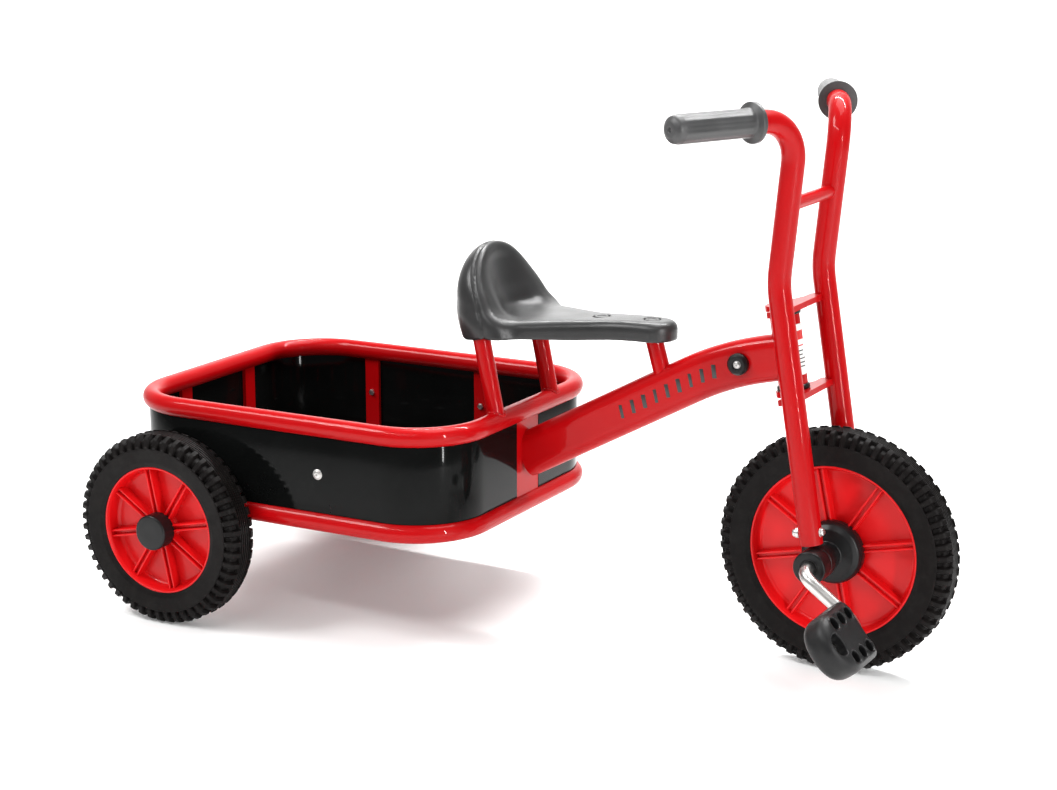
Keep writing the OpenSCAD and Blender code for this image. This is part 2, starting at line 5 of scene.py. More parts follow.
import bmesh
import bpy
import numpy as np
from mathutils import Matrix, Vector


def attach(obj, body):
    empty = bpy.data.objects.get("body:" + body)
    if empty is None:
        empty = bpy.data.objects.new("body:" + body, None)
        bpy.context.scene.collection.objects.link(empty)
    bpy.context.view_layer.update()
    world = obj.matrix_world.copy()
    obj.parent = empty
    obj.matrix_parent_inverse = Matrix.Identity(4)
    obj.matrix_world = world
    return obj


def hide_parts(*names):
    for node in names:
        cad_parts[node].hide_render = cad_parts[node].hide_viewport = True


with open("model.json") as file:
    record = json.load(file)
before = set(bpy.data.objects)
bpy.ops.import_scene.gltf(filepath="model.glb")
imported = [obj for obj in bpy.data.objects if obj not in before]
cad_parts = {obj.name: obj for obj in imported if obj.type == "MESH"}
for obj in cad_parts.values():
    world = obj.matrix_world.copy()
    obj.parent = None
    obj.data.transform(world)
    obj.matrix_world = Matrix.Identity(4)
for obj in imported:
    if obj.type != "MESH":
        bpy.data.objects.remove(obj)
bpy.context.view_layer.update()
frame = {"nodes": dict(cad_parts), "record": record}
NODES = frame["nodes"]
MM = 0.001

# ---------------------------------------------------------------- sizes (mm)
# wheels: axle position, tread radius, tyre width, rim lip radius, width over the lips
FRONT_X, FRONT_R, FRONT_W, FRONT_LIP, FRONT_FW = 398, 150, 46, 107, 37.4
REAR_X, REAR_R, REAR_W, REAR_LIP, REAR_FW, REAR_Y = -423, 125, 50, 83.5, 41.2, 249
LUGS_F, LUGS_R, RIB_START = 62, 52, 12
# steering: a point on the raked axis, unit vectors up and forward of it
RAKE = math.radians(9.3)
STEER_O = np.array([367.0, 0, 150])
AX_U = np.array([-math.sin(RAKE), 0, math.cos(RAKE)])
AX_F = np.array([math.cos(RAKE), 0, math.sin(RAKE)])
HEAD_LO, HEAD_HI, HEAD_R = 199.8, 285.2, 18
# fork: legs, the knee where they lean over, handlebar and grips
LEG_Y, LEG_AHEAD, FORK_D = 69.5, 28, 28.0
UP = math.radians(5.6)
KNEE = STEER_O + LEG_AHEAD * AX_F + 331 * AX_U
GRIP_Z, SWEEP, GRIP_LEN, GRIP_OUT = 675.0, math.radians(26), 122.0, 66.0
CROSSBAR_Z = 574
# tray: centre line of the rings, uprights with their screws, side panel, floor sheet
RING = dict(x0=-519.0, x1=-34.0, w=204.5, r=90.0, low=150.0, top=272.5, d=25.0)
POST_XS, SCREW_Z = (-215, -395), 212
PANEL_IN, PANEL_T, PANEL_CUT = 2.5, 2.0, 11.7
SHEET_T = 2.0
FLOOR_TOP = RING["low"] + RING["d"] / 2 + SHEET_T
DIMPLE_PITCH, DIMPLE_X, DIMPLE_Y = 60, (-460, -100), (-120, 120)
# beam: straight from the bracket, then a bend; slopes at both ends; section
BEAM_X0, BEAM_Z0, BEND_X, BEND_R = -30, 213.0, 200.0, 387
SL, SE = math.radians(28.4), math.radians(12.4)
BEAM_HALF_W, BEAM_FLAT = 15, 14
STOP_X, STOP_Z = 270, 368
# crank and pedals
CRANK_A, CRANK_R, ARM_Y, PEDAL_W = math.radians(36), 90.0, 116.0, 92.0
CRANK_D, CRANK_BEND = 16, 18
PEDAL_Y = ARM_Y + 22 + PEDAL_W / 2
PEDAL_TILT = math.radians(52)
PIN_END = PEDAL_Y + 32
# seat: lower edge, round nose, backrest's arc in plan and height, posts, plugs (x, top)
SEAT_Z, NOSE_X, NOSE_R = 380.0, 149, 29
BACK_X, BACK_R, BACK_H = -4, 112, 112
POST_D, POST_Y = 22, 72
PLUGS, PLUG_R, POCKET_R, POCKET_Z = ((76, 24.6), (146, 27.2)), 9.3, 10.6, 21
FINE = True


# ------------------------------------------------------------------ materials
def new_mat(name):
    """New node material, its tree and its Principled shader."""
    m = bpy.data.materials.new(name)
    m.use_nodes = True
    nt = m.node_tree
    return m, nt, nt.nodes["Principled BSDF"]


def node(nt, kind, **kw):
    """Add a node; in_X sets the input called X, other names set properties."""
    n = nt.nodes.new(kind)
    for k, v in kw.items():
        if k.startswith("in_"):
            n.inputs[k[3:].replace("_", " ")].default_value = v
        else:
            setattr(n, k, v)
    return n


def link(nt, a, ao, b, bi):
    """Join output ao of node a to input bi of node b."""
    nt.links.new(a.outputs[ao], b.inputs[bi])


DUST_COLOR = (0.35, 0.33, 0.3)


def surface(name, color, rough, spread=0.08, mottled=0.12, grain=900.0, bump=0.03,
            wave=0.0, wave_scale=120.0, coat=0.0, coat_rough=0.05, metallic=0.0,
            spec=0.5, dust=0.0):
    """Painted, moulded or metal surface: colour mottling, roughness wear, fine grain,
    a slow wave like orange peel, and a little dust where asked."""
    m, nt, bs = new_mat(name)
    tc = node(nt, "ShaderNodeTexCoord")
    patches = node(nt, "ShaderNodeTexNoise", in_Scale=18.0, in_Detail=5.0, in_Roughness=0.6)
    link(nt, tc, "Object", patches, "Vector")
    fine = node(nt, "ShaderNodeTexNoise", in_Scale=grain, in_Detail=2.0)
    link(nt, tc, "Object", fine, "Vector")
    slow = node(nt, "ShaderNodeTexNoise", in_Scale=wave_scale, in_Detail=1.0)
    link(nt, tc, "Object", slow, "Vector")
    ramp = node(nt, "ShaderNodeValToRGB")
    ramp.color_ramp.elements[0].position = 0.3
    ramp.color_ramp.elements[1].position = 0.7
    ramp.color_ramp.elements[0].color = (*[max(0.0, c * (1 - mottled)) for c in color], 1)
    ramp.color_ramp.elements[1].color = (*[min(1.0, c * (1 + mottled)) for c in color], 1)
    link(nt, patches, "Fac", ramp, "Fac")
    painted, result = ramp, "Color"
    if dust > 0:
        mix = node(nt, "ShaderNodeMix", data_type="RGBA")
        mix.inputs["B"].default_value = (*DUST_COLOR, 1)
        specks = node(nt, "ShaderNodeTexNoise", in_Scale=60.0, in_Detail=8.0, in_Roughness=0.75)
        link(nt, tc, "Object", specks, "Vector")
        dusting = node(nt, "ShaderNodeMapRange")
        dusting.inputs["From Min"].default_value = 0.45
        dusting.inputs["From Max"].default_value = 0.8
        dusting.inputs["To Max"].default_value = dust
        link(nt, specks, "Fac", dusting, "Value")
        link(nt, dusting, "Result", mix, "Factor")
        link(nt, ramp, "Color", mix, "A")
        painted, result = mix, "Result"
    link(nt, painted, result, bs, "Base Color")
    worn = node(nt, "ShaderNodeMapRange")
    worn.inputs["From Min"].default_value = 0.3
    worn.inputs["From Max"].default_value = 0.7
    worn.inputs["To Min"].default_value = max(0.02, rough - spread)
    worn.inputs["To Max"].default_value = min(1.0, rough + spread)
    link(nt, patches, "Fac", worn, "Value")
    link(nt, worn, "Result", bs, "Roughness")
    relief = node(nt, "ShaderNodeBump", in_Strength=bump, in_Distance=0.0005)
    link(nt, fine, "Fac", relief, "Height")
    last = relief
    if wave > 0:
        swell = node(nt, "ShaderNodeBump", in_Strength=wave, in_Distance=0.001)
        link(nt, slow, "Fac", swell, "Height")
        link(nt, relief, "Normal", swell, "Normal")
        last = swell
    link(nt, last, "Normal", bs, "Normal")
    bs.inputs["Metallic"].default_value = metallic
    bs.inputs["Specular IOR Level"].default_value = spec
    bs.inputs["Coat Weight"].default_value = coat
    bs.inputs["Coat Roughness"].default_value = coat_rough
    return m


RED = surface("red powder coat", (0.39, 0.0012, 0.0026), 0.40, spread=0.05, mottled=0.05,
              grain=500, bump=0.03, wave=0.04, wave_scale=160, coat=0.27, coat_rough=0.02,
              spec=0.06)
RIM_RED = surface("red moulded rim", (0.62, 0.004, 0.006), 0.38, spread=0.06,
                  mottled=0.05, grain=700, bump=0.05, wave=0.04, wave_scale=90,
                  coat=0.12, coat_rough=0.12, spec=0.22)
TYRE = surface("tyre rubber", (0.0040, 0.0030, 0.0029), 0.50, spread=0.10, mottled=0.25,
               grain=1400, bump=0.25, wave=0.08, wave_scale=300, spec=0.11, dust=0.02)
SEAT_M = surface("seat plastic", (0.0185, 0.0185, 0.0188), 0.33, spread=0.05,
                 mottled=0.12, grain=1800, bump=0.18, wave=0.05, wave_scale=70, spec=0.42)
GRIP_M = surface("grip rubber", (0.042, 0.042, 0.043), 0.40, spread=0.08, mottled=0.15,
                 grain=1200, bump=0.2, wave=0.05, wave_scale=90, spec=0.5, dust=0.03)
BLACK = surface("black moulding", (0.0060, 0.0060, 0.0064), 0.36, spread=0.08,
                mottled=0.2, grain=1200, bump=0.12, wave=0.04, spec=0.25)
PEDAL_M = surface("pedal plastic", (0.0060, 0.0060, 0.0064), 0.44, spread=0.08,
                  mottled=0.2, grain=1100, bump=0.3, wave=0.06, spec=0.28, dust=0.02)
PANEL = surface("black panel lacquer", (0.0035, 0.0038, 0.0037), 0.10, spread=0.04,
                mottled=0.2, grain=300, bump=0.01, wave=0.02, wave_scale=40, coat=0.035,
                coat_rough=0.03, spec=0.07)
FLOOR_M = surface("black floor sheet", (0.012, 0.012, 0.013), 0.28, spread=0.08,
                  mottled=0.25, grain=700, bump=0.06, wave=0.04, dust=0.02)
STEEL = surface("zinc plated steel", (0.60, 0.585, 0.57), 0.34, spread=0.08, mottled=0.08,
                grain=900, bump=0.03, wave=0.006, wave_scale=200, metallic=1.0)
LABEL = surface("label film", (0.80, 0.80, 0.78), 0.35, spread=0.05, mottled=0.03,
                grain=600, bump=0.02, coat=0.3)

SLOT_MAT = {"frame_red": RED, "rim_red": RIM_RED, "tyre_rubber": TYRE, "steel": STEEL,
            "panel_black": PANEL, "floor_black": FLOOR_M, "seat_plastic": SEAT_M,
            "grip_rubber": GRIP_M, "pedal_plastic": PEDAL_M, "label_film": LABEL,
            "black_plastic": BLACK}
NODE_SLOT = {s["node"]: s["material_slot"] for s in frame["record"]["subparts"]}
BODY_OF = {n: b for b, ns in frame["record"]["behaviour"]["bodies"].items() for n in ns}


def smooth(o, angle=35.0):
    """Smooth shading with sharp edges where faces meet at more than angle degrees."""
    me = o.data
    bm = bmesh.new()
    bm.from_mesh(me)
    lim = math.radians(angle)
    for f in bm.faces:
        f.smooth = True
    for ed in bm.edges:
        if len(ed.link_faces) == 2:
            ed.smooth = ed.calc_face_angle(0.0) < lim
    bm.to_mesh(me)
    bm.free()


for name, o in NODES.items():
    o.data.materials.clear()
    o.data.materials.append(SLOT_MAT[NODE_SLOT[name]])


# --------------------------------------------------------------- mesh helpers
def make(name, verts, faces, mat, node_name=None, body=None, angle=35.0):
    """Mesh from millimetre points; stands for CAD node(s) and rides on their body."""
    name = name.replace(" ", "_")
    me = bpy.data.meshes.new(name)
    me.from_pydata([tuple(v) for v in np.asarray(verts, float) * MM], [],
                   [tuple(int(i) for i in f) for f in faces])
    me.validate()
    me.update()
    o = bpy.data.objects.new(name, me)
    bpy.context.scene.collection.objects.link(o)
    me.materials.append(mat)
    bm = bmesh.new()
    bm.from_mesh(me)
    bmesh.ops.recalc_face_normals(bm, faces=bm.faces)
    bm.to_mesh(me)
    bm.free()
    smooth(o, angle)
    names = [node_name] if isinstance(node_name, str) else list(node_name or [])
    if names:
        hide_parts(*names)
        body = BODY_OF[names[0]]
    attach(o, body)
    return o


def grid_faces(nu, nv, wrap_u=False, wrap_v=False):
    """Quads of an nu by nv grid of points, closed round where asked."""
    fu = nu if wrap_u else nu - 1
    fv = nv if wrap_v else nv - 1
    i, j = np.meshgrid(np.arange(fu), np.arange(fv), indexing="ij")
    a = i * nv + j
    b = ((i + 1) % nu) * nv + j
    c = ((i + 1) % nu) * nv + (j + 1) % nv
    d = i * nv + (j + 1) % nv
    return np.stack([a, b, c, d], -1).reshape(-1, 4)


def nets(f, lo, hi, h):
    """Closed mesh of the zero level of distance field f by naive surface nets."""
    lo, hi = np.array(lo, float), np.array(hi, float)
    n = np.ceil((hi - lo) / h).astype(int) + 1
    ax = [lo[k] + h * np.arange(n[k]) for k in range(3)]
    X, Y, Z = np.meshgrid(*ax, indexing="ij")
    F = f(X, Y, Z)
    S = F < 0
    c = S[:-1, :-1, :-1].astype(int)
    tot = np.zeros_like(c)
    for dx in (0, 1):
        for dy in (0, 1):
            for dz in (0, 1):
                tot += S[dx:n[0] - 1 + dx, dy:n[1] - 1 + dy, dz:n[2] - 1 + dz]
    act = (tot > 0) & (tot < 8)
    idx = -np.ones(act.shape, int)
    idx[act] = np.arange(act.sum())
    base = np.argwhere(act)
    acc = np.zeros((len(base), 3))
    cnt = np.zeros(len(base))
    corners = [(a, b, d) for a in (0, 1) for b in (0, 1) for d in (0, 1)]
    for p in corners:
        for k in range(3):
            if p[k]:
                continue
            q = list(p)
            q[k] = 1
            fa = F[tuple((base + p).T)]
            fb = F[tuple((base + q).T)]
            m = (fa < 0) != (fb < 0)
            t = np.where(m, fa / np.where(m, fa - fb, 1), 0)
            off = np.tile(np.array(p, float), (len(base), 1))
            off[:, k] = t
            acc[m] += off[m]
            cnt[m] += 1
    pts = lo + h * (base + acc / cnt[:, None])
    for _ in range(2):
        # slide the points onto the exact surface, which takes the grid's steps out
        dist = f(*pts.T)
        slope = np.stack([f(*(pts + step).T) - f(*(pts - step).T)
                          for step in 0.2 * np.eye(3)], -1) / 0.4
        move = (dist / np.maximum((slope ** 2).sum(1), 0.25))[:, None] * slope
        pts = pts - np.clip(move, -0.3 * h, 0.3 * h)
    faces = []
    for k in range(3):
        a, b = (k + 1) % 3, (k + 2) % 3
        sl = [slice(None)] * 3
        sl2 = [slice(None)] * 3
        sl[k] = slice(0, n[k] - 1)
        sl2[k] = slice(1, n[k])
        cr = S[tuple(sl)] != S[tuple(sl2)]
        e = np.argwhere(cr)
        ok = (e[:, a] > 0) & (e[:, b] > 0) & (e[:, a] < n[a] - 1) & (e[:, b] < n[b] - 1)
        e = e[ok]
        flip = S[tuple(e.T)]
        u = np.zeros(3, int)
        u[a] = 1
        v = np.zeros(3, int)
        v[b] = 1
        q = np.stack([idx[tuple((e - u - v).T)], idx[tuple((e - v).T)],
                      idx[tuple(e.T)], idx[tuple((e - u).T)]], -1)
        q[~flip] = q[~flip][:, ::-1]
        faces.append(q)
    return pts, np.concatenate(faces)


def smin(a, b, k):
    """Minimum of two distances with the corner rounded over k."""
    h = np.clip(0.5 + 0.5 * (b - a) / k, 0, 1)
    return b * (1 - h) + a * h - k * h * (1 - h)


def smax(a, b, k):
    """Maximum of two distances with the corner rounded over k."""
    return -smin(-a, -b, k)


def tube(name, path, d, mat, node_name, seg=40):
    """Round bar swept along points with parallel transport."""
    P = np.asarray(path, float)
    n = len(P)
    closed = np.linalg.norm(P[0] - P[-1]) < 1e-6
    if closed:
        P = P[:-1]
        n = len(P)
    T = np.zeros_like(P)
    for i in range(n):
        a, b = P[(i - 1) % n], P[(i + 1) % n]
        if not closed:
            a, b = P[max(i - 1, 0)], P[min(i + 1, n - 1)]
        T[i] = (b - a) / np.linalg.norm(b - a)
    N = np.zeros_like(P)
    v = np.cross(T[0], [0.3, 0.5, 0.81])
    N[0] = v / np.linalg.norm(v)
    for i in range(1, n):
        v = N[i - 1] - T[i] * (N[i - 1] @ T[i])
        N[i] = v / np.linalg.norm(v)
    B = np.cross(T, N)
    tw = np.zeros(n)
    if closed:
        v = N[-1] - T[0] * (N[-1] @ T[0])
        tw = -math.atan2(v @ B[0], v @ N[0]) * np.arange(n) / n
    ang = np.linspace(0, 2 * np.pi, seg, endpoint=False)[None, :] + tw[:, None]
    V = P[:, None, :] + d / 2 * (np.cos(ang)[..., None] * N[:, None, :]
                                 + np.sin(ang)[..., None] * B[:, None, :])
    F = [tuple(q) for q in grid_faces(n, seg, closed, True)]
    if not closed:
        F += [tuple(range(seg))[::-1], tuple((n - 1) * seg + j for j in range(seg))]
    return make(name, V.reshape(-1, 3), F, mat, node_name)


def bend(points, radii, step=6.0):
    """Polyline with rounded corners, points in mm."""
    P = [np.asarray(p, float) for p in points]
    out = [P[0]]
    for i in range(1, len(P) - 1):
        u = (P[i] - P[i - 1]) / np.linalg.norm(P[i] - P[i - 1])
        v = (P[i + 1] - P[i]) / np.linalg.norm(P[i + 1] - P[i])
        a = math.acos(max(-1, min(1, u @ v)))
        r = radii[i - 1]
        if a < 1e-4 or r <= 0:
            out.append(P[i])
            continue
        nrm = v - (u @ v) * u
        nrm /= np.linalg.norm(nrm)
        s = P[i] - r * math.tan(a / 2) * u
        c = s + r * nrm
        for t in np.linspace(0, a, max(4, int(r * a / step) + 1)):
            out.append(c + r * (-math.cos(t) * nrm + math.sin(t) * u))
    out.append(P[-1])
    # long straight runs get points too, so shading stays even
    full = [out[0]]
    for q in out[1:]:
        d = np.linalg.norm(q - full[-1])
        if d > 60:
            k = int(d // 40)
            s = full[-1]
            for t in range(1, k):
                full.append(s + (q - s) * t / k)
        full.append(q)
    return np.array(full)


# ------------------------------------------------------------------- geometry
def ring_path(z, grow=0.0, run=30.0):
    """Closed plan outline of the tray ring at height z, moved out by grow."""
    step = 4.0
    r = RING["r"] + grow
    ix, jx, iy = RING["x1"] - RING["r"], RING["x0"] + RING["r"], RING["w"] - RING["r"]
    k = int(math.pi / 2 * RING["r"] / step)
    pts = []
    for cx, cy, a0 in ((ix, iy, 0), (jx, iy, 90), (jx, -iy, 180), (ix, -iy, 270)):
        for t in range(k + 1):
            a = math.radians(a0 + 90 * t / k)
            pts.append(np.array([cx + r * math.cos(a), cy + r * math.sin(a), z]))
    pts.append(pts[0])
    out = [pts[0]]
    for p, q in zip(pts, pts[1:]):
        d = np.linalg.norm(q - p)
        n = max(1, int(round(d / run))) if d > 3 * step else 1
        out += [p + (q - p) * t / n for t in range(1, n + 1)]
    return np.array(out)


def band(name, grow0, grow1, z0, z1, ch, mat, node_name, gap_y=0.0):
    """Upright sheet that follows the tray outline, edges softened by ch, open in front
    over |y| < gap_y."""
    rows = []
    inner, outer = ring_path(0, grow0, run=6), ring_path(0, grow1, run=6)
    for o, i in zip(outer[:-1], inner[:-1]):
        if gap_y and o[0] > RING["x1"]:
            y = math.copysign(gap_y, o[1])
            if abs(o[1]) < gap_y - 4:
                rows.append(None)
                continue
            if abs(o[1]) < gap_y + 2:
                o, i = np.array([o[0], y, 0]), np.array([i[0], y, 0])
        n = (o - i)[:2]
        t = np.linalg.norm(n)
        n = n / t
        c = ch * 0.3
        rows.append([[i[0] + n[0] * u, i[1] + n[1] * u, z] for u, z in (
            (t, z0 + ch), (t, z1 - ch), (t - c, z1 - c), (t - ch, z1), (ch, z1),
            (c, z1 - c), (0, z1 - ch), (0, z0 + ch), (c, z0 + c), (ch, z0),
            (t - ch, z0), (t - c, z0 + c))])
    if gap_y:
        first = next(k for k in range(len(rows)) if rows[k] is not None
                     and rows[k - 1] is None)
        rows = [q for q in rows[first:] + rows[:first] if q is not None]
    R = np.array(rows)
    n, m = R.shape[:2]
    F = [tuple(q) for q in grid_faces(n, m, not gap_y, True)]
    if gap_y:
        F += [tuple(range(m)), tuple((n - 1) * m + j for j in range(m))[::-1]]
    return make(name, R.reshape(-1, 3), F, mat, node_name)


def lathe(name, prof, origin, axis, mat, node_name=None, body=None, seg=96, closed=True,
          ref=None, angles=None, wave=None, angle=35.0):
    """Revolve (axial, radius) points about an axis through origin (mm)."""
    axis = np.asarray(axis, float) / np.linalg.norm(axis)
    ref = np.array([1.0, 0, 0]) if ref is None else np.asarray(ref, float)
    u = ref - axis * (ref @ axis)
    u /= np.linalg.norm(u)
    v = np.cross(axis, u)
    P = np.asarray(prof, float)
    th = np.linspace(0, 2 * np.pi, seg, endpoint=False) if angles is None else angles
    seg = len(th)
    A, R = np.tile(P[:, 0], (seg, 1)), np.tile(P[:, 1], (seg, 1))
    if wave is not None:
        A, R = wave(th[:, None], A, R)
    V = (np.asarray(origin, float) + A[..., None] * axis
         + R[..., None] * (np.cos(th)[:, None, None] * u + np.sin(th)[:, None, None] * v))
    m = len(P)
    F = [tuple(q) for q in grid_faces(seg, m, True, closed)]
    if not closed:
        if P[0, 1] > 1e-6:
            F.append(tuple(i * m for i in range(seg)))
        if P[-1, 1] > 1e-6:
            F.append(tuple(i * m + m - 1 for i in range(seg))[::-1])
    return make(name, V.reshape(-1, 3), F, mat, node_name, body, angle)


def fillet2(pts, radii, n=6):
    """Profile polyline with rounded corners; radii per inner point."""
    P = [np.asarray(p, float) for p in pts]
    out = [P[0]]
    for i in range(1, len(P) - 1):
        r = radii[i - 1] if not np.isscalar(radii) else radii
        u = P[i - 1] - P[i]
        v = P[i + 1] - P[i]
        lu, lv = np.linalg.norm(u), np.linalg.norm(v)
        u, v = u / lu, v / lv
        a = math.acos(max(-1, min(1, u @ v)))
        if r <= 0 or a > math.pi - 0.02:
            out.append(P[i])
            continue
        t = min(r / math.tan(a / 2), 0.49 * lu, 0.49 * lv)
        r = t * math.tan(a / 2)
        c = P[i] + (u + v) / np.linalg.norm(u + v) * (r / math.sin(a / 2))
        s, e_ = P[i] + u * t, P[i] + v * t
        a0 = math.atan2(*(s - c)[::-1])
        a1 = math.atan2(*(e_ - c)[::-1])
        d = (a1 - a0 + math.pi) % (2 * math.pi) - math.pi
        for k in range(n + 1):
            q = a0 + d * k / n
            out.append(c + r * np.array([math.cos(q), math.sin(q)]))
    out.append(P[-1])
    return np.array(out)


def bar_block(name, c, half, mat, r=1.0, body="frame", rot=None):
    """Small softened box."""
    bm = bmesh.new()
    bmesh.ops.create_cube(bm, size=1.0)
    for v in bm.verts:
        v.co = Vector((v.co.x * 2 * half[0], v.co.y * 2 * half[1], v.co.z * 2 * half[2]))
    bmesh.ops.bevel(bm, geom=bm.edges[:], offset=r, segments=3, affect="EDGES",
                    profile=0.5)
    V = np.array([v.co[:] for v in bm.verts])
    F = [[v.index for v in f.verts] for f in bm.faces]
    bm.free()
    if rot is not None:
        V = V @ np.asarray(rot).T
    return make(name, V + np.asarray(c, float), F, mat, None, body)


def weld(name, c, axis, r, body="frame", size=2.6, normal=None, n=26, squash=1.0):
    """Rippled weld bead with n ripples round a bar of radius r at c."""
    axis = np.asarray(axis, float) / np.linalg.norm(axis)
    u = np.cross(axis, [0.21, 0.87, 0.33])
    u /= np.linalg.norm(u)
    v = np.cross(axis, u)
    seg, m = n * 6, 10
    V = []
    for i in range(seg):
        a = 2 * math.pi * i / seg
        s = size * (1 + 0.16 * math.sin(a * n) + 0.06 * math.sin(3 * a + 1))
        d = u * math.cos(a) + v * math.sin(a)
        off = 0.0 if normal is None else normal(d)
        for j in range(m):
            b = 2 * math.pi * j / m
            V.append(np.asarray(c) + d * (r + s * 0.35 * math.cos(b) * squash)
                     + axis * (off + s * math.sin(b)))
    return make(name, V, [tuple(q) for q in grid_faces(seg, m, True, True)], RED, None,
                body)


def bevel_node(name, width):
    """CAD node kept as it is, with its edges softened by a modifier."""
    o = NODES[name]
    smooth(o, 32)
    b = o.modifiers.new("soft edges", "BEVEL")
    b.width = width * MM
    b.segments = 3
    b.limit_method = "ANGLE"
    b.angle_limit = math.radians(40)
    b.harden_normals = True


def y_lathe(name, prof, x, z, mat, y0=0.0, sign=1, **kw):
    """Revolve about a line along Y; profile is (distance outboard, radius)."""
    P = np.asarray(prof, float)
    return lathe(name, P, (x, y0, z), (0, sign, 0), mat, **kw)


# ----------------------------------------------------------------------- tray
tube("top rail", ring_path(RING["top"]), RING["d"], RED, "top_rail", seg=48)
tube("bottom rail", ring_path(RING["low"]), RING["d"], RED, "bottom_rail", seg=48)
band("tray panel", PANEL_IN, PANEL_IN + PANEL_T, RING["low"] + PANEL_CUT,
     RING["top"] - PANEL_CUT, 0.7, PANEL, "tray_panel", gap_y=29.0)


def floor_sheet():
    """Thin sheet with pressed round dimples and a clean rounded outline."""
    inset, h = 3.0, 3.0
    cx, hx = (RING["x0"] + RING["x1"]) / 2, (RING["x1"] - RING["x0"]) / 2 - inset
    hy, r = RING["w"] - inset, RING["r"] - inset
    xs, ys = np.arange(-hx - h, hx + 2 * h, h), np.arange(-hy - h, hy + 2 * h, h)
    X, Y = np.meshgrid(xs, ys, indexing="ij")

    def sd(a, b):
        qx, qy = abs(a) - hx + r, abs(b) - hy + r
        return (np.hypot(np.maximum(qx, 0), np.maximum(qy, 0))
                + np.minimum(np.maximum(qx, qy), 0) - r)
    d = sd(X, Y)
    g = 0.01
    gx, gy = (sd(X + g, Y) - d) / g, (sd(X, Y + g) - d) / g
    ln = np.hypot(gx, gy)
    push = np.where((d > 0) & (d < h * 1.5), d / np.maximum(ln, 0.1), 0)
    PX, PY = X - gx * push, Y - gy * push
    # distance to the nearest dimple of the grid, and how deep it is pressed there
    half = DIMPLE_PITCH / 2
    dx = (PX + cx - DIMPLE_X[0] + half) % DIMPLE_PITCH - half
    dy = (PY - DIMPLE_Y[0] + half) % DIMPLE_PITCH - half
    inside = ((abs(PX + cx - sum(DIMPLE_X) / 2) < (DIMPLE_X[1] - DIMPLE_X[0]) / 2 + 10)
              & (abs(PY) < DIMPLE_Y[1] + 10))
    rho = np.hypot(dx, dy)
    press = 1 + np.cos(np.pi * np.clip((rho - 3) / 10, 0, 1))
    Z = FLOOR_TOP - np.where(inside & (rho < 13), press, 0)
    ok = d < h * 0.95
    nx, ny = X.shape
    idx = np.arange(nx * ny).reshape(nx, ny)
    q = np.stack([idx[:-1, :-1], idx[1:, :-1], idx[1:, 1:], idx[:-1, 1:]], -1)
    keep = ok[:-1, :-1] & ok[1:, :-1] & ok[1:, 1:] & ok[:-1, 1:]
    q = q[keep]
    used = np.unique(q)
    remap = -np.ones(nx * ny, int)
    remap[used] = np.arange(len(used))
    top = np.stack([PX + cx, PY, Z], -1).reshape(-1, 3)[used]
    q = remap[q]
    V = np.vstack([top, top - [0, 0, SHEET_T]])
    F = [tuple(f) for f in q] + [tuple(f + len(top))[::-1] for f in q]
    seen = dict.fromkeys((a, b) for f in q for a, b in zip(f, np.roll(f, -1)))
    rim = [(a, b) for a, b in seen if (b, a) not in seen]
    F += [(b, a, a + len(top), b + len(top)) for a, b in rim]
    return make("tray floor", V, F, FLOOR_M, "tray_floor")


floor_sheet()
for width, plain_nodes in (
        (0.9, ("tray_posts", "beam_bracket", "fork_plate_upper", "fork_plate_lower")),
        (0.6, ("floor_bearers", "axle_saddles")),
        (0.5, ("rear_axle", "axle_spacers", "axle_tube", "steering_pin",
               "rear_bush_right", "rear_bush_left"))):
    for nm in plain_nodes:
        bevel_node(nm, width)


def round_screw(name, c, axis, r=5.5, h=3.0, hex_r=2.0, body="frame", node_name=None):
    """Domed screw head with a washer and a hexagon socket; c is on the seat plane."""
    axis = np.asarray(axis, float) / np.linalg.norm(axis)
    prof = [(0, 0.01), (0, r * 1.18), (0.5, r * 1.22), (0.8, r * 1.15), (0.8, r),
            (1.3, r)]
    for t in np.linspace(0.12, 1, 9):
        a = t * math.pi / 2
        prof.append((1.2 + (h - 1.2) * math.sin(a), r * math.cos(a) ** 0.7
                     if t < 1 else hex_r * 1.3))
    prof[-1] = (h, hex_r * 1.25)
    prof += [(h - 0.15, hex_r * 1.1), (h - 1.6, hex_r), (h - 1.6, 0.01)]
    return lathe(name, prof, c, axis, STEEL, node_name, body, seg=36, closed=False)


stands_for = "panel_screws"     # the first piece stands for the whole node
for sy in (-1, 1):
    for x in POST_XS:
        round_screw(f"panel screw {x} {sy}", (x, sy * (RING["w"] + PANEL_IN + PANEL_T), SCREW_Z),
                    (0, sy, 0), node_name=stands_for)
        y_lathe(f"panel nut {x} {sy}", fillet2([(0, 0.01), (0, 4.5), (3.4, 4.5),
                (3.4, 0.01)], [0.4, 0.8], 3), x, SCREW_Z, STEEL,
                y0=sy * (RING["w"] - PANEL_IN), sign=-sy, body="frame", seg=6, closed=False)
        stands_for = None


# ------------------------------------------------------- beam, head tube, posts
def beam_straight_z(x):
    """Height of the beam's centre line over its straight part."""
    return BEAM_Z0 + (x - BEAM_X0) * math.tan(SL)


